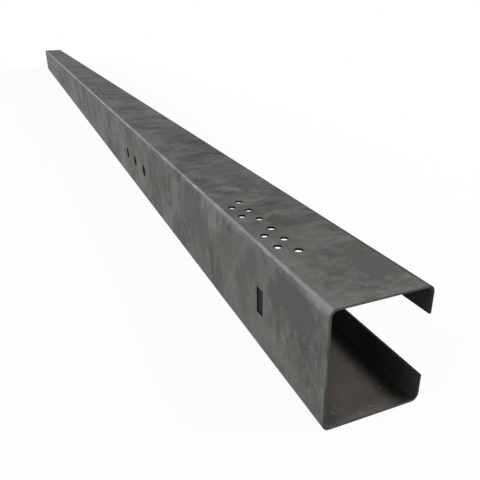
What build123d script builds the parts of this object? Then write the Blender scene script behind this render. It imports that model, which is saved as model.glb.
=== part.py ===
from build123d import *
import os

# Lipped channel section, cold formed from one steel strip, lying on its bottom flange. Millimetres.
# +X runs along the length, +Y from the web to the lips, +Z up.
# The origin is the middle of the underside's bounding rectangle.
# The near end is the +X end and the far end is the -X end. Distances along the length are taken
# from the end that the hole belongs to, and heights from the underside.

# Section
length = 3000.0
web_height = 102.0
flange_width = 85.0
lip_height = 24.0
thickness = 2.0
bend_radius = 4.5  # inside

# Hole groups in the top flange: an outer row, and an inner row half a pitch along without its middle hole
group_hole_diameter = 7.5
group_pitch = 25.0
outer_row_count = 6
inner_row_from_web = 12.5
outer_row_from_web = 25.0
group_centres_from_near_end = [150.0, 1125.0]

# Rectangular slots in the web
slot_length = 12.0
slot_height = 25.0
near_slot_from_near_end = 107.0
near_slot_centre_height = 50.0
far_slot_from_far_end = 908.0
far_slot_centre_height = 57.0

# Round holes in the web: a row of three towards each end, and a single one beside the far slot
web_hole_diameter = 18.0
web_row_pitch = 64.0
web_row_count = 3
web_row_height = 49.5
web_row_centre_from_end = 612.0
single_hole_from_far_end = 994.0
single_hole_height = 39.0

web_face = -flange_width / 2
lip_face = flange_width / 2
near_end = length / 2
far_end = -length / 2


def bent_line(inset):
    """The path down the top lip, across the top flange, the web and the bottom flange and up the
    bottom lip, at a depth of inset below the outer face."""
    lip = lip_face - inset
    web = web_face + inset
    bottom = inset
    top = web_height - inset
    points = [
        (lip, web_height - lip_height),
        (lip, top),
        (web, top),
        (web, bottom),
        (lip, bottom),
        (lip, lip_height),
    ]
    return FilletPolyline(*points, radius=bend_radius + thickness - inset)


def section():
    """The bent strip's cross-section, at the far end."""
    with BuildSketch(Plane.YZ.offset(far_end)) as sketch:
        with BuildLine():
            outer = bent_line(0)
            inner = bent_line(thickness)
            Line(outer @ 0, inner @ 0)
            Line(outer @ 1, inner @ 1)
        make_face()
    return sketch.sketch


def row(centre, count, pitch):
    """Places of count holes at a pitch, about a centre."""
    start = centre - (count - 1) * pitch / 2
    return [start + index * pitch for index in range(count)]


def top_flange_punches():
    """A round punch for every hole of every group in the top flange."""
    punch = Cylinder(group_hole_diameter / 2, 4 * thickness)
    punches = []
    for distance in group_centres_from_near_end:
        centre = near_end - distance
        outer_row = row(centre, outer_row_count, group_pitch)
        inner_row = row(centre, outer_row_count - 1, group_pitch)
        del inner_row[len(inner_row) // 2]
        punches += [Pos(x, web_face + outer_row_from_web, web_height) * punch for x in outer_row]
        punches += [Pos(x, web_face + inner_row_from_web, web_height) * punch for x in inner_row]
    return punches


def web_punches():
    """A punch for every slot and every round hole in the web."""
    slot = Box(slot_length, 4 * thickness, slot_height)
    hole = Rot(90, 0, 0) * Cylinder(web_hole_diameter / 2, 4 * thickness)
    punches = [
        Pos(near_end - near_slot_from_near_end, web_face, near_slot_centre_height) * slot,
        Pos(far_end + far_slot_from_far_end, web_face, far_slot_centre_height) * slot,
        Pos(far_end + single_hole_from_far_end, web_face, single_hole_height) * hole,
    ]
    for centre in [near_end - web_row_centre_from_end, far_end + web_row_centre_from_end]:
        for x in row(centre, web_row_count, web_row_pitch):
            punches.append(Pos(x, web_face, web_row_height) * hole)
    return punches


def channel():
    """The whole channel: the section run along its length, less the punched holes."""
    return extrude(section(), amount=length) - top_flange_punches() - web_punches()


os.makedirs("parts", exist_ok=True)
export_step(channel(), "parts/channel.step")
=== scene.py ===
"""Finish, floor, light and camera for a lipped steel channel section lying on a level floor.

Everything is in metres, in the part's own frame: +X along the channel with the near end at +X, +Y from the
web to the lips, +Z up. Distances called "along" are measured from the near end.
"""

from collections import namedtuple
from math import pi

import bpy
from mathutils import Matrix, Vector


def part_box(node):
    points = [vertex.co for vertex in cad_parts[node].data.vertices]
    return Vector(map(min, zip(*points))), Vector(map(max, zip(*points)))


# The outer bend radius of the section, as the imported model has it
OUTER_BEND = 0.0065

# Picture frame
CAMERA_PLACE = (1.73603, -0.19934, 0.27478)
CAMERA_RIGHT = (0.383150, 0.923565, -0.014967)
CAMERA_UP = (-0.369188, 0.167975, 0.914049)
CAMERA_LENS = 38.294
CAMERA_SENSOR = 36.0

# Colours as eight-bit sRGB
DARK_SCALE = (64, 65, 62)
LIGHT_SCALE = (114, 115, 111)
WHOLE_SCALE = (84, 85, 82)
BROWN_PATCH = (87, 86, 84)
INSIDE_BROWN = (107, 101, 96)
INSIDE_RUBBED = (122, 118, 114)
INSIDE_GREY = (72, 71, 69)
INSIDE_MARK = (158, 148, 140)
INSIDE_BARE = (92, 92, 89)
RUST_SPECK = (140, 112, 94)
# Painted shadow by the lips inside, and painted shade on the lips' inner faces
LIP_SHADOW = (24, 23, 22)
LIP_SHADE = (62, 62, 62)
# The bend's spill, core and lumps: wear with a painted highlight on it, paler far off as a painted sheen
BEND_SPILL = (134, 136, 139)
BEND_CORE = (148, 148, 148)
BEND_CORE_BLUE = (143, 147, 151)
BEND_CORE_FAR = (196, 196, 194)
BEND_LUMP = (190, 191, 192)
BEND_SHADE = (88, 89, 88)
# Painted shade on the bends beside the lips
LIP_BEND_SHADE = (44, 44, 44)
CUT_STEEL = (74, 74, 73)
CUT_FLANGE = (84, 84, 83)
CUT_DARK = (48, 48, 47)
CUT_RIM = (118, 118, 117)
# Near black: painted shade on the walls of the punched holes
PUNCHED_WALL_SHADE = (12, 12, 12)
FLOOR_WHITE = (250, 250, 250)

# Tints, as factors of red, green and blue
DARK_TINT = (0.84, 0.84, 0.84, 1.0)
BLUE_TINT = (0.965, 1.00, 1.02, 1.0)
BEND_TINT = (0.985, 1.00, 1.025, 1.0)
VIOLET_TINT = (1.01, 0.975, 1.04, 1.0)
BROWN_TINT = (1.01, 0.97, 0.98, 1.0)
GREEN_TINT = (0.96, 1.00, 0.97, 1.0)
YELLOW_TINT = (1.02, 1.00, 0.92, 1.0)
FAR_TINT = (1.00, 0.99, 1.01, 1.0)
INSIDE_GREEN_TINT = (0.93, 0.98, 0.94, 1.0)
INSIDE_RED_TINT = (1.10, 1.01, 0.99, 1.0)

# Blotches of the mill scale, seen best towards the near end. Each lies on the web or the top flange: how
# far along, the height on the web or the distance from the web on the flange, its two half-sizes, and its
# strength. WHOLE ones are smooth plates of unbroken scale, CRUMPLED ones have the most facets, DULL and
# PALE ones shift the lightness, and the AREAS are tinted.
Blotch = namedtuple("Blotch", "face along across half_along half_across strength")
WHOLE = [
    Blotch("web", 0.050, 0.081, 0.034, 0.017, 1.0),
    Blotch("web", 0.080, 0.069, 0.012, 0.011, 1.0),
    Blotch("web", 0.046, 0.071, 0.020, 0.010, 1.0),
    Blotch("web", 0.122, 0.081, 0.012, 0.012, 0.55),
    Blotch("web", 0.146, 0.051, 0.014, 0.013, 0.50),
    Blotch("web", 0.258, 0.062, 0.018, 0.024, 0.45),
    Blotch("web", 0.284, 0.074, 0.028, 0.018, 0.40),
    Blotch("web", 0.334, 0.060, 0.018, 0.015, 0.35),
    Blotch("web", 0.490, 0.078, 0.055, 0.024, 0.30),
    Blotch("top", 0.073, 0.065, 0.013, 0.010, 0.65),
    Blotch("top", 0.150, 0.042, 0.014, 0.010, 0.85),
    Blotch("top", 0.118, 0.071, 0.009, 0.007, 0.50),
    Blotch("top", 0.220, 0.014, 0.011, 0.010, 0.45),
    Blotch("top", 0.266, 0.052, 0.025, 0.018, 0.65),
    Blotch("top", 0.274, 0.014, 0.011, 0.014, 0.45),
    Blotch("top", 0.328, 0.048, 0.016, 0.026, 0.55),
    Blotch("top", 0.560, 0.056, 0.050, 0.028, 0.50),
]
CRUMPLED = [
    Blotch("top", 0.022, 0.048, 0.030, 0.036, 1.0),
    Blotch("top", 0.064, 0.022, 0.026, 0.016, 0.8),
    Blotch("top", 0.105, 0.058, 0.024, 0.020, 0.7),
    Blotch("web", 0.024, 0.036, 0.034, 0.030, 1.0),
    Blotch("web", 0.215, 0.060, 0.040, 0.030, 0.8),
]
WHOLE_BROWN = [
    Blotch("top", 0.046, 0.064, 0.026, 0.015, 1.0),
    Blotch("top", 0.033, 0.060, 0.013, 0.010, 0.8),
    Blotch("top", 0.030, 0.071, 0.012, 0.009, 0.8),
]
DULL = [
    Blotch("web", 0.028, 0.062, 0.046, 0.038, 0.6),
    Blotch("top", 0.014, 0.026, 0.018, 0.020, 0.6),
    Blotch("top", 0.092, 0.054, 0.014, 0.014, 0.6),
    Blotch("top", 0.140, 0.016, 0.022, 0.012, 0.5),
    Blotch("top", 0.040, 0.043, 0.028, 0.010, 0.6),
    Blotch("top", 0.490, 0.046, 0.070, 0.020, 0.8),
    Blotch("top", 0.900, 0.058, 0.120, 0.020, 0.9),
    Blotch("web", 0.058, 0.042, 0.018, 0.010, 0.6),
    Blotch("top", 0.006, 0.064, 0.010, 0.016, 0.35),
    Blotch("web", 0.010, 0.020, 0.020, 0.012, 0.3),
]
PALE = [
    Blotch("web", 0.080, 0.026, 0.018, 0.011, 1.0),
    Blotch("web", 0.068, 0.036, 0.012, 0.007, 0.8),
    Blotch("web", 0.102, 0.020, 0.028, 0.018, 0.9),
    Blotch("web", 0.172, 0.036, 0.020, 0.034, 0.2),
    Blotch("web", 0.098, 0.086, 0.020, 0.014, 0.6),
    Blotch("top", 0.203, 0.066, 0.032, 0.016, 0.5),
    Blotch("web", 0.225, 0.087, 0.048, 0.014, 0.85),
    Blotch("web", 0.272, 0.024, 0.044, 0.024, 1.0),
    Blotch("web", 0.045, 0.015, 0.036, 0.010, 0.7),
    Blotch("web", 0.090, 0.055, 0.012, 0.030, 0.6),
    Blotch("web", 0.024, 0.036, 0.014, 0.014, 0.5),
    Blotch("top", 0.095, 0.038, 0.016, 0.012, 0.3),
    Blotch("top", 0.070, 0.010, 0.045, 0.008, 0.9),
    Blotch("top", 0.072, 0.028, 0.014, 0.012, 0.5),
    Blotch("top", 0.380, 0.045, 0.045, 0.020, 0.6),
    Blotch("top", 0.112, 0.012, 0.014, 0.008, 0.6),
    Blotch("top", 0.250, 0.014, 0.018, 0.012, 0.6),
    Blotch("web", 0.090, 0.012, 0.012, 0.007, 0.7),
    Blotch("web", 0.310, 0.012, 0.030, 0.008, 0.8),
    Blotch("web", 0.720, 0.050, 0.090, 0.045, 0.6),
    Blotch("web", 1.930, 0.018, 0.280, 0.016, 0.6),
    Blotch("web", 0.350, 0.068, 0.075, 0.024, 0.5),
    Blotch("top", 0.176, 0.055, 0.011, 0.009, 0.5),
    Blotch("top", 0.242, 0.067, 0.012, 0.006, 0.5),
]
DARK_AREAS = [
    Blotch("top", 0.154, 0.038, 0.010, 0.009, 1.0),
    Blotch("top", 0.144, 0.045, 0.010, 0.008, 1.0),
    Blotch("top", 0.266, 0.050, 0.022, 0.013, 0.6),
    Blotch("top", 0.118, 0.071, 0.009, 0.007, 0.6),
]
BROWN_AREAS = [
    Blotch("top", 0.024, 0.046, 0.034, 0.044, 1.0),
]
YELLOW_AREAS = [
    Blotch("web", 0.136, 0.021, 0.011, 0.007, 0.7),
]
GREEN_AREAS = [
    Blotch("top", 0.073, 0.065, 0.014, 0.012, 1.0),
    Blotch("web", 0.222, 0.088, 0.017, 0.015, 0.5),
]

# How far a blotch reaches away from its face, the width of its edge as a share of its half-sizes, and how
# much torn noise moves the edge
BLOTCH_DEPTH = 0.015
BLOTCH_EDGE = 0.08
SOFT_BLOTCH_EDGE = 0.25
BLOTCH_WOBBLE = 2.1

# Areas of the scale that are tinted, on top of its hues
TINTED_AREAS = [
    (DARK_AREAS, DARK_TINT),
    (BROWN_AREAS, BROWN_TINT),
    (YELLOW_AREAS, YELLOW_TINT),
    (GREEN_AREAS, GREEN_TINT),
]

# Most settings below are ramps and bands. A ramp is the two numbers between which something changes
# smoothly, in either direction, and its values there where they aren't zero and one. A band is the four
# numbers at which something starts, is full, begins to fade and ends, and its strength where it isn't one.
# The end of a name says what the numbers measure. ALONG is the distance from the near end, and AROUND the
# way round the skin from the middle of the nearest bend, positive on the flange's side. HEIGHT is along Z
# and PLACE along Y, FROM_WEB and FROM_LIPS are along Y from those outer faces, and FROM_CORE is the way
# round the skin from the middle of the bend's bright core. DEPTH is below the outer skin, and FROM_END is
# the distance from the nearer end.

# Noise patterns: the size of the features, or sizes along X, Y and Z, a seed that moves the pattern by
# that many times SEED_STEP, and the ramp that makes a mask of the noise, which is about 0.5
Pattern = namedtuple("Pattern", "sizes seed detail roughness distortion ramp",
                     defaults=(2.0, 0.5, 0.0, None))
TORN = Pattern(0.018, 21, 5.0, 0.55, 0.5)
CRUMPLE = Pattern(0.055, 12, 3.0, ramp=(0.50, 0.62))
GRAIN = Pattern(0.0024, 22, 3.0, 0.7)
BUSY = Pattern((0.120, 0.070, 0.070), 29, ramp=(0.42, 0.60, 0.25, 1.25))
PALE_SPECKS = Pattern(0.0034, 24, 1.0, ramp=(0.73, 0.78, 0.0, 0.35))
DARK_SPECKS = Pattern(0.0030, 25, 1.0, ramp=(0.75, 0.80, 0.0, -0.30))
HUE = Pattern((0.080, 0.050, 0.050), 28, 3.0, 0.5, 0.5)
BLUE_HUE = (0.55, 0.60, 0.0, 0.6)
VIOLET_HUE = (0.43, 0.38, 0.0, 0.6)
SPILL_FRAY = Pattern((0.012, 0.006, 0.006), 31, 4.0, 0.6)
SPILL_LENGTHS = Pattern((0.120, 0.2, 0.2), 32, ramp=(0.45, 0.60, 0.22, 0.42))
CORE_FRAY = Pattern((0.009, 0.004, 0.004), 39, 3.0, 0.6)
BEADS = Pattern((0.010, 0.02, 0.02), 34, ramp=(0.35, 0.60, 0.70, 0.98))
LONG_BEADS = Pattern((0.045, 0.1, 0.1), 37, ramp=(0.35, 0.55, 0.72, 1.0))
LUMPS = Pattern((0.009, 0.004, 0.004), 36, 1.0, ramp=(0.56, 0.61))
LONG_LUMPS = Pattern((0.040, 0.1, 0.1), 38, 1.0, ramp=(0.56, 0.61))
SHADE_LENGTHS = Pattern((0.080, 0.1, 0.1), 35, ramp=(0.45, 0.55, 0.0, 0.35))
SCUFF_GLINTS = Pattern((0.004, 0.002, 0.002), 33, 1.0, ramp=(0.59, 0.64))
INSIDE_DULLNESS = Pattern(0.030, 40, 4.0, ramp=(0.35, 0.65, 0.55, 0.85))
DUST_PATCHES = Pattern(0.045, 41, 4.0, 0.6, ramp=(0.30, 0.65, 0.45, 1.0))
INSIDE_TORN = Pattern(0.022, 43, 4.0, 0.6)
GREENISH = (0.52, 0.58)
REDDISH = Pattern(0.016, 45, 3.0, ramp=(0.53, 0.57))
RUST_SPECKS = Pattern(0.0035, 42, 1.0, ramp=(0.70, 0.75, 0.0, 0.35))
INSIDE_MARKS = Pattern(0.0045, 44, 1.0, ramp=(0.66, 0.71, 0.0, 0.4))
SEED_STEP = (3.7, 5.3, 7.1)

# Torn-edged patches of several sizes and short strokes: the pattern, the noise between which an edge runs,
# how much the dark ones take away from the lightness and the light ones add, and ramps of their strength
# along the channel. WEB_STROKES_ALONG weakens the strokes on the web near the end.
Patches = namedtuple("Patches", "pattern edge dark light along")
LARGE_PATCHES = Patches(Pattern((0.090, 0.135, 0.135), 1, 3.0, 0.5, 0.9), (0.53, 0.55), 0.13, 0.12,
                        [(0.10, 0.32, 0.35, 1.5)])
MIDDLE_PATCHES = Patches(Pattern((0.038, 0.057, 0.057), 2, 3.0, 0.5, 0.9), (0.53, 0.55), 0.10, 0.09,
                         [(0.15, 0.30, 1.0, 1.4), (0.50, 0.90, 1.0, 0.45)])
SMALL_PATCHES = Patches(Pattern((0.014, 0.021, 0.021), 3, 3.0, 0.5, 0.9), (0.53, 0.55), 0.06, 0.07, [])
FAR_PATCHES = Patches(Pattern((0.170, 0.110, 0.110), 27, 4.0, 0.6, 0.8), (0.53, 0.56), 0.13, 0.12,
                      [(0.35, 0.90)])
STROKES = Patches(Pattern((0.0060, 0.018, 0.020), 23, 2.0, 0.5, 0.6), (0.54, 0.56), 0.09, 0.11,
                  [(0.15, 0.45, 1.0, 0.6)])
WEB_STROKES_ALONG = (0.03, 0.10, 0.6, 1.0)

# Facets of the crumpled skin: their size along the channel and how far noise warps them, as a share of
# their size; how much longer they are across it, and the warping noise's scale and detail; how much their
# own tones and slants change the lightness; the width of their rims, and the seed, the size as a share of
# theirs and the ramp of the noise that says which facets have them
Facets = namedtuple("Facets", "size warp")
BROAD_FACETS = Facets(0.022, 1.2)
FINE_FACETS = Facets(0.0075, 1.4)
FACET_STRETCH = 1.8
FACET_WARP_SCALE = 0.7
FACET_WARP_DETAIL = 3.0
FACET_TONE = 0.55
FACET_SLANT = 1.3
FACET_RIM = (0.060, 0.0)
RIMMED_SEED = 14
RIMMED_SIZE = 1.5
RIMMED = (0.48, 0.58)

# Lightness of the scale, from its darkest colour at zero to its lightest at one, and what shifts it on the
# web and on the top flange, which is partly painted light and shade: a painted sheen beside the web, in
# the middle and far off, and painted shade at the near end and on the top flange. WHOLE_COVER is how far
# the colour of whole scale covers what is under it.
SCALE_LIGHTNESS = 0.58
GRAIN_SWING = 0.22
BROAD_FOLDS = 0.16
FINE_FOLDS_ON_WEB = 0.16
FINE_FOLDS_ON_FLANGE = 0.36
DARKEST_FOLD = -0.13
BROAD_RIMS = 0.12
FINE_RIMS = 0.32
DARKEST_RELIEF_ALONG = (0.06, 0.25, -0.15, -0.50)
DULL_SHIFT = -0.20
PALE_SHIFT = 0.20
WHOLE_COVER = 0.85
ON_FLANGE_AROUND = (0.004, 0.008)
PALE_FROM_WEB = (0.030, 0.008, 0.0, 0.24)
PALE_BEFORE_HOLES_ALONG = (0.135, 0.115, 0.5, 1.0)
PALE_PAST_END_ALONG = (0.030, 0.070, 0.35, 1.0)
RUBBED_END_ALONG = (0.018, 0.004)
RUBBED_WEB, RUBBED_FLANGE = 0.10, 0.14
NEAR_END_SHADE_ALONG = (0.16, 0.10, 0.0, -0.07)
TOP_SHADE_ALONG = (0.10, 0.14, 0.0, -0.19)
MIDDLE_SHEEN_ALONG = (0.4, 0.9)
PALER_WEB, PALER_FLANGE = 0.08, 0.07
FAR_SHEEN_ALONG = (1.2, 2.8, 0.0, 0.17)
FOOT_HEIGHT = (0.030, 0.010, 0.0, 0.09)
FOOT_ALONG = (0.25, 0.40)
FAR_TINT_ALONG = (1.4, 2.4)

# The rubbed bend, whose wear carries a painted highlight: the greyish spill beside it, its bright core and
# the darker lines by the core. The section changes from one side to the other within MIDDLE_CHANGE of its
# middle, where no bend is.
MIDDLE_CHANGE = 0.001
SPILL_SWING = 0.010
SPILL_NEAR_ALONG = (0.062, 0.020)
SPILL_FADE_ALONG = (0.45, 0.25, 0.2, 1.0)
SPILL_BY_HOLES_ALONG = (0.12, 0.16, 0.24, 0.28, 0.55)
SPILL_ON_WEB_AROUND = (-0.0078, 0.0008)
SPILL_END_AROUND = (0.0030, 0.0010)
SPILL_ON_TOP_AROUND = (0.0120, 0.0030, 0.0, 0.18)
PAST_SPILL_AROUND = (0.0010, 0.0030)
CORE_SWING = 0.0030
CORE_FRAY_ALONG = (0.50, 0.20)
CORE_AROUND = (-0.0019, 0.0004, 0.0004, 0.0030)
CORE_MIDDLE = 0.0004
DULL_BEADS_ALONG = (0.055, 0.085, 0.21, 0.25, -0.07)
BLUE_CORE_ALONG = (0.040, 0.012)
FAR_CORE_ALONG = (0.0, 2.0)
LUMPS_ALONG = (0.05, 0.10)
MORE_LUMPS_ALONG = (0.21, 0.25, 0.35, 0.6)
SHADE_AROUND = (0.0030, 0.0045, 0.0055, 0.0080)
SHADE_ALONG = (0.08, 0.14)
COOL_FROM_CORE = (0.0090, 0.0050)
COOL_ALONG = (0.030, 0.045, 0.25, 0.45)
Stripe = namedtuple("Stripe", "around along")
BESIDE_CORE = Stripe((0.0010, 0.0030, 0.0045, 0.0075), (0.025, 0.045, 0.10, 0.16, 0.12))
SHADE_BY_HOLES = Stripe((0.0018, 0.0032, 0.0050, 0.0080), (0.12, 0.18, 0.24, 0.28, 0.6))
FLANKS = Stripe((0.0022, 0.0042, 0.0060, 0.0110), (0.40, 0.80, 1.6, 2.2, 0.30))

# The painted shade on the bends beside the lips, and the scuff marks with painted glints on every bend
LIP_BEND_SHADE_AROUND = (-0.0060, -0.0030, 0.0036, 0.0068)
LIP_BEND_SHADE_ALONG = (0.008, 0.020, 0.45, 0.85)
SCUFF_GLINTS_AROUND = (0.0070, 0.0045)
SCUFF_GLINTS_LOW, SCUFF_GLINTS_HIGH = 0.8, 0.4
SCUFF_GLINTS_ALONG = (0.10, 0.25, 0.3, 1.0)

# The inner faces: dust, which also paints them lighter near the open ends, painted shade by the web,
# areas bare of dust, marks, rubbed places, and painted shadow and shade by the lips
DUST_AND_LIGHT_FROM_END = (0.20, 0.02, 0.10, 0.95)
WEB_SHADE_FROM_WEB = (0.028, 0.010, 0.0, 0.8)
BARE_SWING = 0.050
BARE_ALONG = (0.055, 0.059, 0.100, 0.110, 0.85)
BARE_HEIGHT = (0.006, 0.004)
MARKS_ALONG = (0.040, 0.015)
INSIDE_RUB_ALONG = (0.007, 0.001, 0.0, 0.3)
INSIDE_RUB_PLACE = (0.020, 0.006)
INSIDE_RUB_FROM_WEB = (0.010, 0.028, 0.2, 1.0)
LIP_SHADOW_FROM_LIPS = (-0.034, -0.010, 0.0, 0.85)
LIP_SHADE_FROM_LIPS = (-0.008, -0.003, 0.0, 0.75)

# Where the inner faces' finish takes over, and how deep a cut face starts to show, which is deeper on the
# bends, because the mesh lies a little inside the true arc there. It shows in full at CUT_FULL times that.
INNER_DEPTH = (0.0014, 0.0018)
CUT_ON_FLAT = 0.00002
CUT_ON_BEND = 0.0002
CUT_FULL = 2.0
BENT_AROUND = (0.0070, 0.0055)

# The cut faces at the ends: how near the end they start, and the ramps and bands of their colours
END_FACE = (0.00010, 0.00002)
CUT_LIP_FROM_LIPS = (-0.006, -0.0035)
CUT_FLANGE_AROUND = (0.002, 0.006)
CUT_PALER_HEIGHT = (0.066, 0.082)
CUT_RUB_DEPTH = (0.0014, 0.0008)
CUT_RUB_HEIGHT = (0.036, 0.042, 0.060, 0.066, 0.5)
CUT_RUB_PLACE = (0.0, -0.001)
# CUT_RIM_DEPTH places the painted highlight on the outer rim of the flanges' end faces
CUT_RIM_DEPTH = (0.0007, 0.0001, 0.0, 0.7)

# The steel's surface: its roughness and what the bend's core adds to it, its specular level, and its
# relief, whose folds and whole scale have these heights where the grain's is one
ROUGHNESS = 0.66
CORE_ROUGHNESS = -0.14
SPECULAR = 0.06
RELIEF_STRENGTH = 0.35
RELIEF_DEPTH = 0.0003
FOLD_RELIEF = 2.0
WHOLE_RELIEF = 0.3

# Studio: the floor, which fades to white away from the channel, the surround's light, and the lamps, which
# are a large soft one on the web's side, a small one at the near end and a low one on the lips' side
FLOOR_HALF_SIZE = 60.0
FLOOR_DROP = 0.0001
FLOOR_FADE = (0.05, 0.60, 0.93, 1.0)
WHITE = (1, 1, 1, 1)
SURROUND_LIGHT = 0.37
Lamp = namedtuple("Lamp", "name place target size watts")
LAMPS = [
    Lamp("key", (1.0, -5.2, 2.9), (0.0, 0.0, 0.0), 4.0, 180.0),
    Lamp("fill", (2.0, 1.0, 1.23), (1.5, 0.0, 0.1), 0.5, 11.6),
    Lamp("back", (-0.3, 5.0, 1.15), (0.0, 0.0, 0.0), 2.0, 65.0),
]


def linear(colour):
    """An eight-bit sRGB colour as the linear values that Blender's sockets take."""
    def channel(value):
        value /= 255
        return value / 12.92 if value <= 0.04045 else ((value + 0.055) / 1.055) ** 2.4
    return tuple(channel(value) for value in colour) + (1.0,)


def moved(ramp, distance):
    """A ramp whose two places are moved by a distance."""
    start, end, *values = ramp
    return (start + distance, end + distance, *values)


class Graph:
    """A node tree in which a value is either a number, a vector or colour, or another node's output."""

    def __init__(self, tree):
        self.tree = tree
        tree.nodes.clear()

    def feed(self, socket, value):
        """Links another node's output to a socket, or sets the socket's own value."""
        if isinstance(value, bpy.types.NodeSocket):
            self.tree.links.new(value, socket)
        else:
            socket.default_value = value

    def node(self, kind, inputs=(), **settings):
        """A new node, with its inputs by name or number, and its own settings."""
        made = self.tree.nodes.new(kind)
        for name, value in settings.items():
            setattr(made, name, value)
        for key, value in dict(inputs).items():
            self.feed(made.inputs[key], value)
        return made

    def math(self, operation, *values, clamp=False):
        made = self.node("ShaderNodeMath", enumerate(values), operation=operation, use_clamp=clamp)
        return made.outputs[0]

    def vector(self, operation, *values):
        made = self.node("ShaderNodeVectorMath", enumerate(values), operation=operation)
        return made.outputs["Value" if operation in ("LENGTH", "DOT_PRODUCT") else "Vector"]

    def total(self, *values):
        result = values[0]
        for value in values[1:]:
            result = self.math("ADD", result, value)
        return result

    def product(self, *values):
        result = values[0]
        for value in values[1:]:
            result = self.math("MULTIPLY", result, value)
        return result

    def ramp(self, value, start, end, before=0.0, after=1.0):
        """A smooth change from before to after, as the value goes up or down from start to end."""
        inputs = {0: value, 1: start, 2: end, 3: before, 4: after}
        return self.node("ShaderNodeMapRange", inputs, interpolation_type="SMOOTHSTEP").outputs[0]

    def band(self, value, start, full, fading, end, strength=1.0):
        """The strength where the value is between full and fading, and zero before start and past end."""
        return self.math("MULTIPLY", self.ramp(value, start, full, 0.0, strength),
                         self.ramp(value, end, fading))

    def noise(self, place, pattern):
        """A pattern's noise, about 0.5."""
        sizes = pattern.sizes
        if not isinstance(sizes, tuple):
            sizes = (sizes, sizes, sizes)
        mapping = self.node("ShaderNodeMapping", {
            "Vector": place,
            "Location": tuple(pattern.seed * step for step in SEED_STEP),
            "Scale": tuple(1 / size for size in sizes),
        })
        return self.node("ShaderNodeTexNoise", {
            "Vector": mapping.outputs[0],
            "Scale": 1.0,
            "Detail": pattern.detail,
            "Roughness": pattern.roughness,
            "Distortion": pattern.distortion,
        }).outputs["Fac"]

    def mask(self, place, pattern):
        """A pattern's noise put through its own ramp."""
        return self.ramp(self.noise(place, pattern), *pattern.ramp)

    def swing(self, value, amount):
        """A value about 0.5 turned into one about zero, and scaled."""
        return self.math("MULTIPLY", self.math("SUBTRACT", value, 0.5), amount)

    def blend(self, factor, start, end, kind="MIX"):
        """A colour between start and end. A mix node's inputs 6 and 7 are its two colours."""
        made = self.node("ShaderNodeMix", data_type="RGBA", blend_type=kind)
        self.feed(made.inputs[0], factor)
        self.feed(made.inputs[6], start)
        self.feed(made.inputs[7], end)
        return made.outputs[2]

    def paint(self, factor, under, colour):
        """An eight-bit colour laid over another colour, as far as the factor says."""
        return self.blend(factor, under, linear(colour))

    def tint(self, factor, under, factors):
        """A colour with its red, green and blue multiplied, as far as the factor says."""
        return self.blend(factor, under, factors, "MULTIPLY")


Surface = namedtuple("Surface", "place along from_end y z depth arc outside inside")


def surface_places(graph, low, high):
    """Where a point is on the section: how far from the near end and from the nearer one, how far below
    the outer skin, and how far round the skin from the middle of the nearest bend, positive on the
    flange's side and negative on the web's or the lip's."""
    place = graph.node("ShaderNodeTexCoord").outputs["Object"]
    parts = graph.node("ShaderNodeSeparateXYZ", {0: place}).outputs
    half_width = (high.y - low.y) / 2
    half_height = (high.z - low.z) / 2
    across = graph.math("SUBTRACT", graph.math("ABSOLUTE", parts["Y"]), half_width - OUTER_BEND)
    from_middle = graph.math("ABSOLUTE", graph.math("SUBTRACT", parts["Z"], half_height))
    upward = graph.math("SUBTRACT", from_middle, half_height - OUTER_BEND)
    into_across = graph.math("MAXIMUM", across, 0.0)
    into_upward = graph.math("MAXIMUM", upward, 0.0)
    corner = graph.node("ShaderNodeCombineXYZ", {0: into_across, 1: into_upward}).outputs[0]
    flat = graph.math("MINIMUM", graph.math("MAXIMUM", across, upward), 0.0)
    outward = graph.math("ADD", graph.vector("LENGTH", corner), flat)
    depth = graph.math("SUBTRACT", OUTER_BEND, outward)
    turn = graph.math("SUBTRACT", graph.math("ARCTAN2", into_upward, into_across), pi / 4)
    on_flange = graph.math("MULTIPLY", graph.math("MINIMUM", across, 0.0), -1.0)
    on_upright = graph.math("MINIMUM", upward, 0.0)
    arc = graph.total(graph.math("MULTIPLY", turn, OUTER_BEND), on_flange, on_upright)
    inside = graph.ramp(depth, *INNER_DEPTH)
    outside = graph.math("SUBTRACT", 1.0, inside)
    along = graph.math("SUBTRACT", high.x, parts["X"])
    from_end = graph.math("MINIMUM", along, graph.math("SUBTRACT", high.x - low.x, along))
    return Surface(place, along, from_end, parts["Y"], parts["Z"], depth, arc, outside, inside)


def blotch_mask(graph, place, wobble, blotches, low, high, edge=BLOTCH_EDGE):
    """Where any of the blotches lies, with an uneven edge that reaches the given share of its half-size
    each way."""
    result = 0.0
    for blotch in blotches:
        x = high.x - blotch.along
        if blotch.face == "web":
            centre = (x, low.y, blotch.across)
            sizes = (blotch.half_along, BLOTCH_DEPTH, blotch.half_across)
        else:
            centre = (x, low.y + blotch.across, high.z)
            sizes = (blotch.half_along, blotch.half_across, BLOTCH_DEPTH)
        offset = graph.vector("DIVIDE", graph.vector("SUBTRACT", place, centre), sizes)
        reach = graph.math("ADD", graph.vector("LENGTH", offset), wobble)
        mask = graph.ramp(reach, 1 + edge, 1 - edge, 0.0, blotch.strength)
        result = graph.math("MAXIMUM", result, mask)
    return result


def patch_shift(graph, surface, patches):
    """A shift of lightness in plateaus with torn edges: down in the dark patches, up in the light ones,
    and none between them."""
    noise = graph.noise(surface.place, patches.pattern)
    start, end = patches.edge
    darker = graph.ramp(noise, start, end, 0.0, -patches.dark)
    lighter = graph.ramp(noise, 1 - start, 1 - end, 0.0, patches.light)
    shift = graph.math("ADD", darker, lighter)
    for strength in patches.along:
        shift = graph.math("MULTIPLY", shift, graph.ramp(surface.along, *strength))
    return shift


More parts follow.
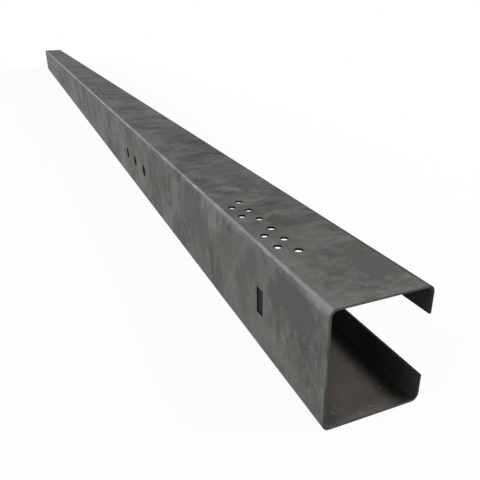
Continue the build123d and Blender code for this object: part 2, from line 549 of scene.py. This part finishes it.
def facets(graph, place, kind):
    """A crumpled skin's facets. Each has its own tone and slants its own way. Gives the shift of lightness
    about zero, and the facets' rims, which show in some areas only."""
    size, warp = kind
    rimmed = graph.noise(place, Pattern(size * RIMMED_SIZE, RIMMED_SEED))
    bending = {"Vector": place, "Scale": FACET_WARP_SCALE / size, "Detail": FACET_WARP_DETAIL}
    bend = graph.node("ShaderNodeTexNoise", bending).outputs["Color"]
    bent = graph.vector("MULTIPLY_ADD", bend, (warp * size,) * 3, place)
    across = size * FACET_STRETCH
    scaled = graph.vector("MULTIPLY", bent, (1 / size, 1 / across, 1 / across))
    cells = {"Vector": scaled, "Scale": 1.0}
    cell = graph.node("ShaderNodeTexVoronoi", cells, feature="F1").outputs
    slant = graph.vector("SUBTRACT", cell["Color"], (0.5, 0.5, 0.5))
    local = graph.vector("SUBTRACT", scaled, cell["Position"])
    shade = graph.vector("DOT_PRODUCT", slant, local)
    tone = graph.swing(graph.node("ShaderNodeSeparateColor", {0: cell["Color"]}).outputs[0], FACET_TONE)
    edge = graph.node("ShaderNodeTexVoronoi", cells, feature="DISTANCE_TO_EDGE").outputs["Distance"]
    rims = graph.math("MULTIPLY", graph.ramp(edge, *FACET_RIM), graph.ramp(rimmed, *RIMMED))
    return graph.total(tone, graph.math("MULTIPLY", shade, FACET_SLANT)), rims


def place_shift(graph, surface, low, on_flange):
    """How the scale's lightness shifts from place to place, apart from its patches. Part of it is painted
    light and shade: a sheen beside the web and in the middle and far off, and shade at the near end and on
    the top flange.
    """
    along = surface.along

    def by_face(on_web, on_top):
        return graph.ramp(on_flange, 0.0, 1.0, on_web, on_top)

    # Painted sheen on the top flange beside the web
    sheen_beside_web = graph.product(on_flange, graph.ramp(surface.y, *moved(PALE_FROM_WEB, low.y)),
                               graph.ramp(along, *PALE_BEFORE_HOLES_ALONG),
                               graph.ramp(along, *PALE_PAST_END_ALONG))
    rubbed_end = graph.product(by_face(RUBBED_WEB, RUBBED_FLANGE), graph.ramp(along, *RUBBED_END_ALONG))
    # Painted shade at the near end and on the top flange, and painted sheen in the middle and far off
    near_end_shade = graph.ramp(along, *NEAR_END_SHADE_ALONG)
    top_shade = graph.product(on_flange, graph.ramp(along, *TOP_SHADE_ALONG))
    middle_sheen = graph.product(graph.ramp(along, *MIDDLE_SHEEN_ALONG), by_face(PALER_WEB, PALER_FLANGE))
    far_sheen = graph.ramp(along, *FAR_SHEEN_ALONG)
    paler_foot = graph.product(graph.ramp(surface.z, *FOOT_HEIGHT), graph.ramp(along, *FOOT_ALONG))
    return graph.total(sheen_beside_web, rubbed_end, near_end_shade, top_shade, middle_sheen, far_sheen, paler_foot)


def scale_colour(graph, surface, low, high):
    """The outer skin's mill scale, blotched grey. Gives its colour and the height of its relief."""
    place, along = surface.place, surface.along
    wobble = graph.swing(graph.noise(place, TORN), BLOTCH_WOBBLE)

    def lies_in(blotches, edge=BLOTCH_EDGE):
        return blotch_mask(graph, place, wobble, blotches, low, high, edge)

    # Folds and rims of the crumpled skin, which is flat where the scale is whole
    on_flange = graph.ramp(surface.arc, *ON_FLANGE_AROUND)
    broad, broad_rims = facets(graph, place, BROAD_FACETS)
    fine, fine_rims = facets(graph, place, FINE_FACETS)
    crumpled = graph.math("MAXIMUM", graph.mask(place, CRUMPLE), lies_in(CRUMPLED))
    grain = graph.noise(place, GRAIN)
    whole = lies_in(WHOLE)
    whole_brown = lies_in(WHOLE_BROWN, SOFT_BLOTCH_EDGE)
    flat = graph.math("SUBTRACT", 1.0, graph.math("MAXIMUM", whole, whole_brown))
    rims = graph.math("ADD", graph.math("MULTIPLY", broad_rims, BROAD_RIMS),
                      graph.product(fine_rims, crumpled, FINE_RIMS))
    fine_folds = graph.ramp(on_flange, 0.0, 1.0, FINE_FOLDS_ON_WEB, FINE_FOLDS_ON_FLANGE)
    folds = graph.math("ADD", graph.math("MULTIPLY", broad, BROAD_FOLDS),
                       graph.product(fine, crumpled, fine_folds))
    folds = graph.math("MAXIMUM", folds, DARKEST_FOLD)

    # Strokes and torn patches. Near the near end the blotches take the place of the largest patches
    busy = graph.mask(place, BUSY)
    fewer_on_web = graph.math("MAXIMUM", on_flange, graph.ramp(along, *WEB_STROKES_ALONG))
    strokes = graph.product(patch_shift(graph, surface, STROKES), busy, fewer_on_web)
    dull = lies_in(DULL)
    large = patch_shift(graph, surface, LARGE_PATCHES)
    middle = patch_shift(graph, surface, MIDDLE_PATCHES)
    small = graph.math("MULTIPLY", patch_shift(graph, surface, SMALL_PATCHES), busy)
    far = patch_shift(graph, surface, FAR_PATCHES)
    relief = graph.total(large, middle, small, far, folds, rims, strokes)
    relief = graph.math("MAXIMUM", relief, graph.ramp(along, *DARKEST_RELIEF_ALONG))

    lightness = graph.total(SCALE_LIGHTNESS, graph.swing(grain, GRAIN_SWING),
                            graph.math("MULTIPLY", relief, flat), graph.math("MULTIPLY", dull, DULL_SHIFT),
                            place_shift(graph, surface, low, on_flange),
                            graph.mask(place, PALE_SPECKS), graph.mask(place, DARK_SPECKS))
    pale = graph.math("MULTIPLY", lies_in(PALE), PALE_SHIFT)
    lightness = graph.math("ADD", lightness, pale, clamp=True)
    colour = graph.blend(lightness, linear(DARK_SCALE), linear(LIGHT_SCALE))
    colour = graph.paint(graph.math("MULTIPLY", whole, WHOLE_COVER), colour, WHOLE_SCALE)
    colour = graph.paint(graph.math("MULTIPLY", whole_brown, WHOLE_COVER), colour, BROWN_PATCH)

    hue = graph.noise(place, HUE)
    colour = graph.tint(graph.ramp(hue, *BLUE_HUE), colour, BLUE_TINT)
    colour = graph.tint(graph.ramp(hue, *VIOLET_HUE), colour, VIOLET_TINT)
    colour = graph.tint(graph.ramp(along, *FAR_TINT_ALONG), colour, FAR_TINT)
    for blotches, factors in TINTED_AREAS:
        colour = graph.tint(lies_in(blotches), colour, factors)
    height = graph.total(grain, graph.math("MULTIPLY", folds, FOLD_RELIEF),
                         graph.math("MULTIPLY", whole, WHOLE_RELIEF))
    return colour, height


def rubbed_bend_and_highlight(graph, surface, high, colour):
    """The bend between the web and the top flange, rubbed bright and with a painted highlight along it.
    Gives the colour and where the bend's core is."""
    place, arc, along = surface.place, surface.arc, surface.along
    middle = high.z / 2
    upper = graph.ramp(surface.z, middle - MIDDLE_CHANGE, middle + MIDDLE_CHANGE)
    web_side = graph.ramp(surface.y, MIDDLE_CHANGE, -MIDDLE_CHANGE)
    main_bend = graph.product(upper, web_side, surface.outside)

    def stripe(around, kind):
        return graph.product(graph.band(around, *kind.around), graph.band(along, *kind.along), main_bend)

    # A greyish strip of wear and painted highlight spills onto the web, widest at the near end
    frayed = graph.math("ADD", arc, graph.swing(graph.noise(place, SPILL_FRAY), SPILL_SWING))
    near_end = graph.ramp(along, *SPILL_NEAR_ALONG)
    lengths = graph.product(graph.mask(place, SPILL_LENGTHS), graph.ramp(along, *SPILL_FADE_ALONG))
    lengths = graph.math("MAXIMUM", lengths, graph.band(along, *SPILL_BY_HOLES_ALONG))
    lengths = graph.math("MAXIMUM", near_end, lengths)
    spill = graph.product(graph.ramp(frayed, *SPILL_ON_WEB_AROUND), graph.ramp(arc, *SPILL_END_AROUND),
                          lengths, main_bend)
    colour = graph.paint(spill, colour, BEND_SPILL)
    onto_top = graph.product(graph.ramp(frayed, *SPILL_ON_TOP_AROUND), graph.ramp(arc, *PAST_SPILL_AROUND),
                             near_end, main_bend)
    colour = graph.paint(onto_top, colour, BEND_SPILL)
    colour = graph.paint(stripe(arc, BESIDE_CORE), colour, BEND_SPILL)

    # The bright core, uneven and lumpy, bluer near the end and paler far off: wear under a painted
    # highlight, whose paler far part is a painted sheen
    beads = graph.math("MULTIPLY", graph.mask(place, BEADS), graph.mask(place, LONG_BEADS))
    beads = graph.math("ADD", beads, graph.band(along, *DULL_BEADS_ALONG))
    fray = graph.swing(graph.noise(place, CORE_FRAY), CORE_SWING)
    ragged = graph.math("ADD", arc, graph.math("MULTIPLY", fray, graph.ramp(along, *CORE_FRAY_ALONG)))
    core = graph.product(graph.band(ragged, *CORE_AROUND), beads, main_bend)
    bright = graph.blend(graph.ramp(along, *BLUE_CORE_ALONG), linear(BEND_CORE), linear(BEND_CORE_BLUE))
    bright = graph.paint(graph.ramp(along, *FAR_CORE_ALONG), bright, BEND_CORE_FAR)
    colour = graph.blend(core, colour, bright)
    lumps = graph.math("MAXIMUM", graph.mask(place, LUMPS), graph.mask(place, LONG_LUMPS))
    lumps = graph.product(lumps, core, graph.ramp(along, *LUMPS_ALONG),
                          graph.ramp(along, *MORE_LUMPS_ALONG))
    colour = graph.paint(lumps, colour, BEND_LUMP)

    # Darker lines beside the core, on the flange's side near the holes and on both sides farther along
    shade = graph.product(graph.band(arc, *SHADE_AROUND), graph.mask(place, SHADE_LENGTHS),
                          graph.ramp(along, *SHADE_ALONG), main_bend)
    shade = graph.math("MAXIMUM", shade, stripe(arc, SHADE_BY_HOLES))
    colour = graph.paint(shade, colour, BEND_SHADE)
    from_core = graph.math("ABSOLUTE", graph.math("SUBTRACT", arc, CORE_MIDDLE))
    colour = graph.paint(stripe(from_core, FLANKS), colour, BEND_SHADE)
    cool = graph.product(graph.ramp(from_core, *COOL_FROM_CORE), main_bend, graph.band(along, *COOL_ALONG))
    return graph.tint(cool, colour, BEND_TINT), core


def other_bends(graph, surface, high, colour):
    """The bends beside the lips, darkened with painted shade, and small light scuff marks on every bend,
    which are partly painted glints, fainter on the upper ones."""
    middle = high.z / 2
    lips_side = graph.ramp(surface.y, -MIDDLE_CHANGE, MIDDLE_CHANGE)
    # Painted shade on the bends beside the lips, which turn away from the light
    lip_bend_shade = graph.product(graph.band(surface.arc, *LIP_BEND_SHADE_AROUND), lips_side, surface.outside,
                             graph.ramp(surface.along, *LIP_BEND_SHADE_ALONG))
    colour = graph.paint(lip_bend_shade, colour, LIP_BEND_SHADE)
    # Light scuff marks, partly painted glints, on every bend
    scuff_glint_bends = graph.ramp(graph.math("ABSOLUTE", surface.arc), *SCUFF_GLINTS_AROUND)
    by_height = graph.ramp(surface.z, middle - MIDDLE_CHANGE, middle + MIDDLE_CHANGE,
                           SCUFF_GLINTS_LOW, SCUFF_GLINTS_HIGH)
    scuff_glints = graph.product(graph.mask(surface.place, SCUFF_GLINTS), scuff_glint_bends, surface.outside, by_height,
                           graph.ramp(surface.along, *SCUFF_GLINTS_ALONG))
    return graph.paint(scuff_glints, colour, BEND_CORE)


def inside_colour(graph, surface, low, high, colour):
    """The inner faces: grey scale with brown dust near the open ends, which also paints them lighter there
    and darker deeper in, painted shade by the web, and painted shadow and shade by the lips.
    """
    place, along, y = surface.place, surface.along, surface.y
    inner = graph.paint(graph.mask(place, INSIDE_DULLNESS), colour, INSIDE_GREY)
    # Brown dust near the open ends, also painted light: lighter near the ends and darker deeper in
    dust_and_end_light = graph.ramp(surface.from_end, *DUST_AND_LIGHT_FROM_END)
    patchy = graph.mask(place, DUST_PATCHES)
    # Less dust by the web leaves darker grey there: painted shade along the web
    dust_and_web_shade = graph.math("SUBTRACT", 1.0, graph.ramp(y, *moved(WEB_SHADE_FROM_WEB, low.y)))
    inner = graph.paint(graph.product(dust_and_end_light, patchy, dust_and_web_shade), inner, INSIDE_BROWN)
    torn = graph.noise(place, INSIDE_TORN)
    inner = graph.tint(graph.ramp(torn, *GREENISH), inner, INSIDE_GREEN_TINT)
    ragged = graph.math("ADD", along, graph.swing(torn, BARE_SWING))
    bare = graph.product(graph.band(ragged, *BARE_ALONG), graph.ramp(surface.z, *BARE_HEIGHT))
    inner = graph.paint(bare, inner, INSIDE_BARE)
    reddish = graph.math("MULTIPLY", graph.mask(place, REDDISH), dust_and_end_light)
    inner = graph.tint(reddish, inner, INSIDE_RED_TINT)
    inner = graph.paint(graph.mask(place, RUST_SPECKS), inner, RUST_SPECK)
    marks = graph.math("MULTIPLY", graph.mask(place, INSIDE_MARKS), graph.ramp(along, *MARKS_ALONG))
    inner = graph.paint(marks, inner, INSIDE_MARK)
    rubbed = graph.product(graph.ramp(along, *INSIDE_RUB_ALONG), graph.ramp(y, *INSIDE_RUB_PLACE),
                           graph.ramp(y, *moved(INSIDE_RUB_FROM_WEB, low.y)))
    inner = graph.paint(rubbed, inner, INSIDE_RUBBED)
    # Painted shadow of the lips on the inner faces near them, and painted shade on the lips' inner faces
    inner = graph.paint(graph.ramp(y, *moved(LIP_SHADOW_FROM_LIPS, high.y)), inner, LIP_SHADOW)
    return graph.paint(graph.ramp(y, *moved(LIP_SHADE_FROM_LIPS, high.y)), inner, LIP_SHADE)


def cut_faces(graph, surface, high, colour):
    """The sheared ends, grey and darker on the lips, with a painted highlight along the flanges' outer
    rims, and the walls of the punched holes, painted near black as shade.
    """
    bent = graph.ramp(graph.math("ABSOLUTE", surface.arc), *BENT_AROUND)
    skin = graph.ramp(bent, 0.0, 1.0, CUT_ON_FLAT, CUT_ON_BEND)
    under_skin = graph.ramp(surface.depth, skin, graph.math("MULTIPLY", skin, CUT_FULL))
    end_face = graph.ramp(surface.from_end, *END_FACE)
    lip = graph.ramp(surface.y, *moved(CUT_LIP_FROM_LIPS, high.y))
    flange = graph.ramp(surface.arc, *CUT_FLANGE_AROUND)
    paler = graph.math("MAXIMUM", flange, graph.ramp(surface.z, *CUT_PALER_HEIGHT))
    end_colour = graph.blend(paler, linear(CUT_STEEL), linear(CUT_FLANGE))
    rub = graph.product(graph.ramp(surface.depth, *CUT_RUB_DEPTH), graph.band(surface.z, *CUT_RUB_HEIGHT),
                        graph.ramp(surface.y, *CUT_RUB_PLACE))
    end_colour = graph.paint(rub, end_colour, CUT_RIM)
    end_colour = graph.paint(lip, end_colour, CUT_DARK)
    # A painted highlight along the outer rim of the flanges' end faces
    rim = graph.product(graph.ramp(surface.depth, *CUT_RIM_DEPTH), flange,
                        graph.math("SUBTRACT", 1.0, lip))
    end_colour = graph.paint(rim, end_colour, CUT_RIM)
    # The walls of the punched holes are painted near black, as shade
    cut_colour = graph.blend(end_face, linear(PUNCHED_WALL_SHADE), end_colour)
    cut = graph.math("MAXIMUM", graph.math("MULTIPLY", under_skin, surface.outside), end_face)
    return graph.blend(cut, colour, cut_colour)


def mill_scale(low, high):
    """Hot-rolled steel with its mill scale: blotched dark grey with painted sheen and shade along it,
    rubbed bright with a painted highlight along a bend, painted shade on the lip bends and by the lips,
    and brown dust inside, painted lighter near the open ends. Cycles has room for 255 of a shader's values
    at a time,
    and this one takes 207: with more than 255 it would render black, so what is added here has to be seen
    in a render."""
    material = bpy.data.materials.new("mill_scale_steel")
    material.use_nodes = True
    graph = Graph(material.node_tree)
    surface = surface_places(graph, low, high)
    colour, height = scale_colour(graph, surface, low, high)
    colour, core = rubbed_bend_and_highlight(graph, surface, high, colour)
    colour = other_bends(graph, surface, high, colour)
    colour = graph.blend(surface.inside, colour, inside_colour(graph, surface, low, high, colour))
    colour = cut_faces(graph, surface, high, colour)
    bump = graph.node("ShaderNodeBump", {
        "Height": height,
        "Strength": RELIEF_STRENGTH,
        "Distance": RELIEF_DEPTH,
    })
    shader = graph.node("ShaderNodeBsdfPrincipled", {
        "Base Color": colour,
        "Roughness": graph.math("ADD", ROUGHNESS, graph.math("MULTIPLY", core, CORE_ROUGHNESS)),
        "Specular IOR Level": SPECULAR,
        "Normal": bump.outputs[0],
    })
    graph.node("ShaderNodeOutputMaterial", {"Surface": shader.outputs[0]})
    return material


def seen_directly(graph):
    """One for rays from the camera, a mirror or glass, and zero for the light that falls on things."""
    path = graph.node("ShaderNodeLightPath").outputs
    reflected = graph.math("MAXIMUM", path["Is Glossy Ray"], path["Is Transmission Ray"])
    return graph.math("MAXIMUM", path["Is Camera Ray"], reflected)


def studio_floor(high):
    """A plain white floor that keeps a faint shadow and fades into the white background."""
    half = FLOOR_HALF_SIZE
    outline = [(-half, -half, 0), (half, -half, 0), (half, half, 0), (-half, half, 0)]
    mesh = bpy.data.meshes.new("studio_floor")
    mesh.from_pydata(outline, [], [(0, 1, 2, 3)])
    floor = bpy.data.objects.new("studio_floor", mesh)
    floor.location.z = -FLOOR_DROP
    bpy.context.scene.collection.objects.link(floor)

    material = bpy.data.materials.new("studio_floor")
    material.use_nodes = True
    graph = Graph(material.node_tree)
    diffuse = graph.node("ShaderNodeBsdfDiffuse", {"Color": linear(FLOOR_WHITE)}).outputs[0]
    white = graph.node("ShaderNodeEmission", {"Color": WHITE, "Strength": 1.0}).outputs[0]
    place = graph.node("ShaderNodeTexCoord").outputs["Object"]
    past = graph.vector("SUBTRACT", graph.vector("ABSOLUTE", place), (high.x, high.y, 0.0))
    away = graph.vector("LENGTH", graph.vector("MAXIMUM", past, (0.0, 0.0, 0.0)))
    factor = graph.math("MULTIPLY", seen_directly(graph), graph.ramp(away, *FLOOR_FADE))
    mixed = graph.node("ShaderNodeMixShader", {0: factor, 1: diffuse, 2: white}).outputs[0]
    graph.node("ShaderNodeOutputMaterial", {"Surface": mixed})
    mesh.materials.append(material)


def studio_light():
    """A white surround that lights things less than it shows, and the lamps."""
    world = bpy.data.worlds.new("studio")
    bpy.context.scene.world = world
    world.use_nodes = True
    graph = Graph(world.node_tree)
    looks_brighter = graph.math("MULTIPLY", seen_directly(graph), 1.0 - SURROUND_LIGHT)
    strength = graph.math("ADD", SURROUND_LIGHT, looks_brighter)
    background = graph.node("ShaderNodeBackground", {"Color": WHITE, "Strength": strength})
    graph.node("ShaderNodeOutputWorld", {"Surface": background.outputs[0]})
    for settings in LAMPS:
        lamp(settings)


def lamp(settings):
    """A round area lamp, unseen by the camera, that faces its target."""
    data = bpy.data.lights.new(settings.name, "AREA")
    data.shape = "DISK"
    data.size = settings.size
    data.energy = settings.watts
    made = bpy.data.objects.new(settings.name, data)
    made.location = settings.place
    facing = Vector(settings.target) - Vector(settings.place)
    made.rotation_euler = facing.to_track_quat("-Z", "Y").to_euler()
    made.visible_camera = False
    bpy.context.scene.collection.objects.link(made)


def camera():
    """The camera, at the place and angle that the picture was taken from."""
    right = Vector(CAMERA_RIGHT)
    up = Vector(CAMERA_UP)
    back = right.cross(up)
    data = bpy.data.cameras.new("camera")
    data.lens = CAMERA_LENS
    data.sensor_width = CAMERA_SENSOR
    made = bpy.data.objects.new("camera", data)
    turn = Matrix((right, up, back)).transposed().to_4x4()
    made.matrix_world = Matrix.Translation(CAMERA_PLACE) @ turn
    bpy.context.scene.collection.objects.link(made)
    bpy.context.scene.camera = made


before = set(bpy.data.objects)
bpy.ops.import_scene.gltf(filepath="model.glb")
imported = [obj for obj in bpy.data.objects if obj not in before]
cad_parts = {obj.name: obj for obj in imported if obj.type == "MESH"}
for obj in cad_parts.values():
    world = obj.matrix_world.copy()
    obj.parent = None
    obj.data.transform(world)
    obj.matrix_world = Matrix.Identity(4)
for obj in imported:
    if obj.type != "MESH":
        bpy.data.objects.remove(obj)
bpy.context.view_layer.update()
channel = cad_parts["channel"]
low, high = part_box("channel")

steel = mill_scale(low, high)
for slot in channel.material_slots:
    slot.material = steel

studio_floor(high)
studio_light()
camera()
bpy.context.scene.view_settings.view_transform = "Standard"
